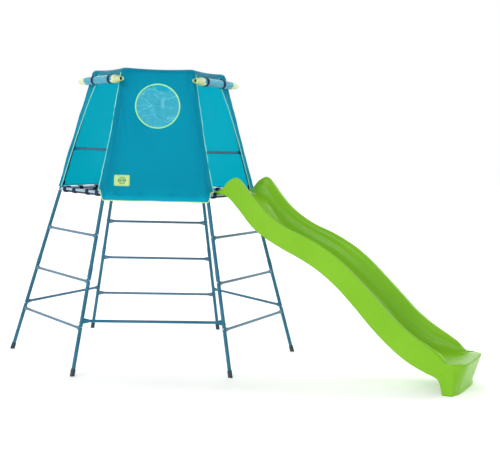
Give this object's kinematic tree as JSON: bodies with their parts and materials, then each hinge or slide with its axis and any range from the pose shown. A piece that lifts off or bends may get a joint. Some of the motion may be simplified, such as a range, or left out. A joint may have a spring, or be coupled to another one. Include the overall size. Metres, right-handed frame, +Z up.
{
  "type": "dome climber with slide",
  "caption": "Six-sided tubular climbing tower with ladders, a raised deck under a fabric den cover with roll-up doorways, and a wavy moulded slide.",
  "frame": {"origin": "middle of the whole object's footprint, on the ground", "axes": "+Z up, +X the way the slide runs out from the tower, +Y to the left of someone going down the slide"},
  "size_m": [3.303, 2.0986, 2.04],
  "materials": {
    "paint": "teal-blue powder coat, satin",
    "galvanised": "zinc plated tube, pale",
    "zinc": "bright zinc plated",
    "cap": "dark moulded cap",
    "deck": "navy coated woven sheet",
    "webbing": "navy webbing",
    "cover": "turquoise coated nylon",
    "flap": "turquoise coated nylon with lime binding at the ends",
    "film": "clear flexible vinyl",
    "patch": "lime printed patch, plain",
    "slide": "lime green moulded polyethylene, satin"
  },
  "bodies": {
    "frame": {"brace_end": "paint", "brace_far": "paint", "brace_window": "paint", "cover_roof": "cover", "cover_wall_end": "cover", "cover_wall_far": "cover", "cover_wall_window": "cover", "deck_loops": "webbing", "deck_panel": "deck", "deck_rail_end": "galvanised", "deck_rail_entry": "galvanised", "deck_rail_far": "galvanised", "deck_rail_rear": "galvanised", "deck_rail_slide": "galvanised", "deck_rail_window": "galvanised", "foot_caps": "cap", "frame_bolts": "zinc", "guard_bar_entry": "paint", "guard_bar_rear": "paint", "guard_bar_slide": "paint", "leg_1_lower": "paint", "leg_1_middle": "paint", "leg_1_upper": "paint", "leg_2_lower": "paint", "leg_2_middle": "paint", "leg_2_upper": "paint", "leg_3_lower": "paint", "leg_3_middle": "paint", "leg_3_upper": "paint", "leg_4_lower": "paint", "leg_4_middle": "paint", "leg_4_upper": "paint", "leg_5_lower": "paint", "leg_5_middle": "paint", "leg_5_upper": "paint", "leg_6_lower": "paint", "leg_6_middle": "paint", "leg_6_upper": "paint", "rung_entry_1": "paint", "rung_entry_2": "paint", "rung_entry_3": "paint", "rung_rear_1": "paint", "rung_rear_2": "paint", "rung_rear_3": "paint", "rung_slide_1": "paint", "rung_slide_2": "paint", "rung_slide_3": "paint", "side_patch": "patch", "slide": "slide", "slide_bolts": "zinc", "top_rails": "paint", "window_film": "film"},
    "door_flap_entry": {"door_roll_entry": "flap", "roll_straps_entry": "webbing"},
    "door_flap_slide": {"door_roll_slide": "flap", "roll_straps_slide": "webbing"},
    "door_flap_rear": {"door_roll_rear": "flap", "roll_straps_rear": "webbing"}
  },
  "joints": [
    {"name": "unroll_entry", "type": "slide", "parent": "frame", "child": "door_flap_entry", "axis": [-0.1198, -0.2074, -0.9709], "range_m": [0, 0.73]},
    {"name": "unroll_slide", "type": "slide", "parent": "frame", "child": "door_flap_slide", "axis": [0.2395, 0, -0.9709], "range_m": [0, 0.607]},
    {"name": "unroll_rear", "type": "slide", "parent": "frame", "child": "door_flap_rear", "axis": [-0.1198, 0.2074, -0.9709], "range_m": [0, 0.73]}
  ]
}
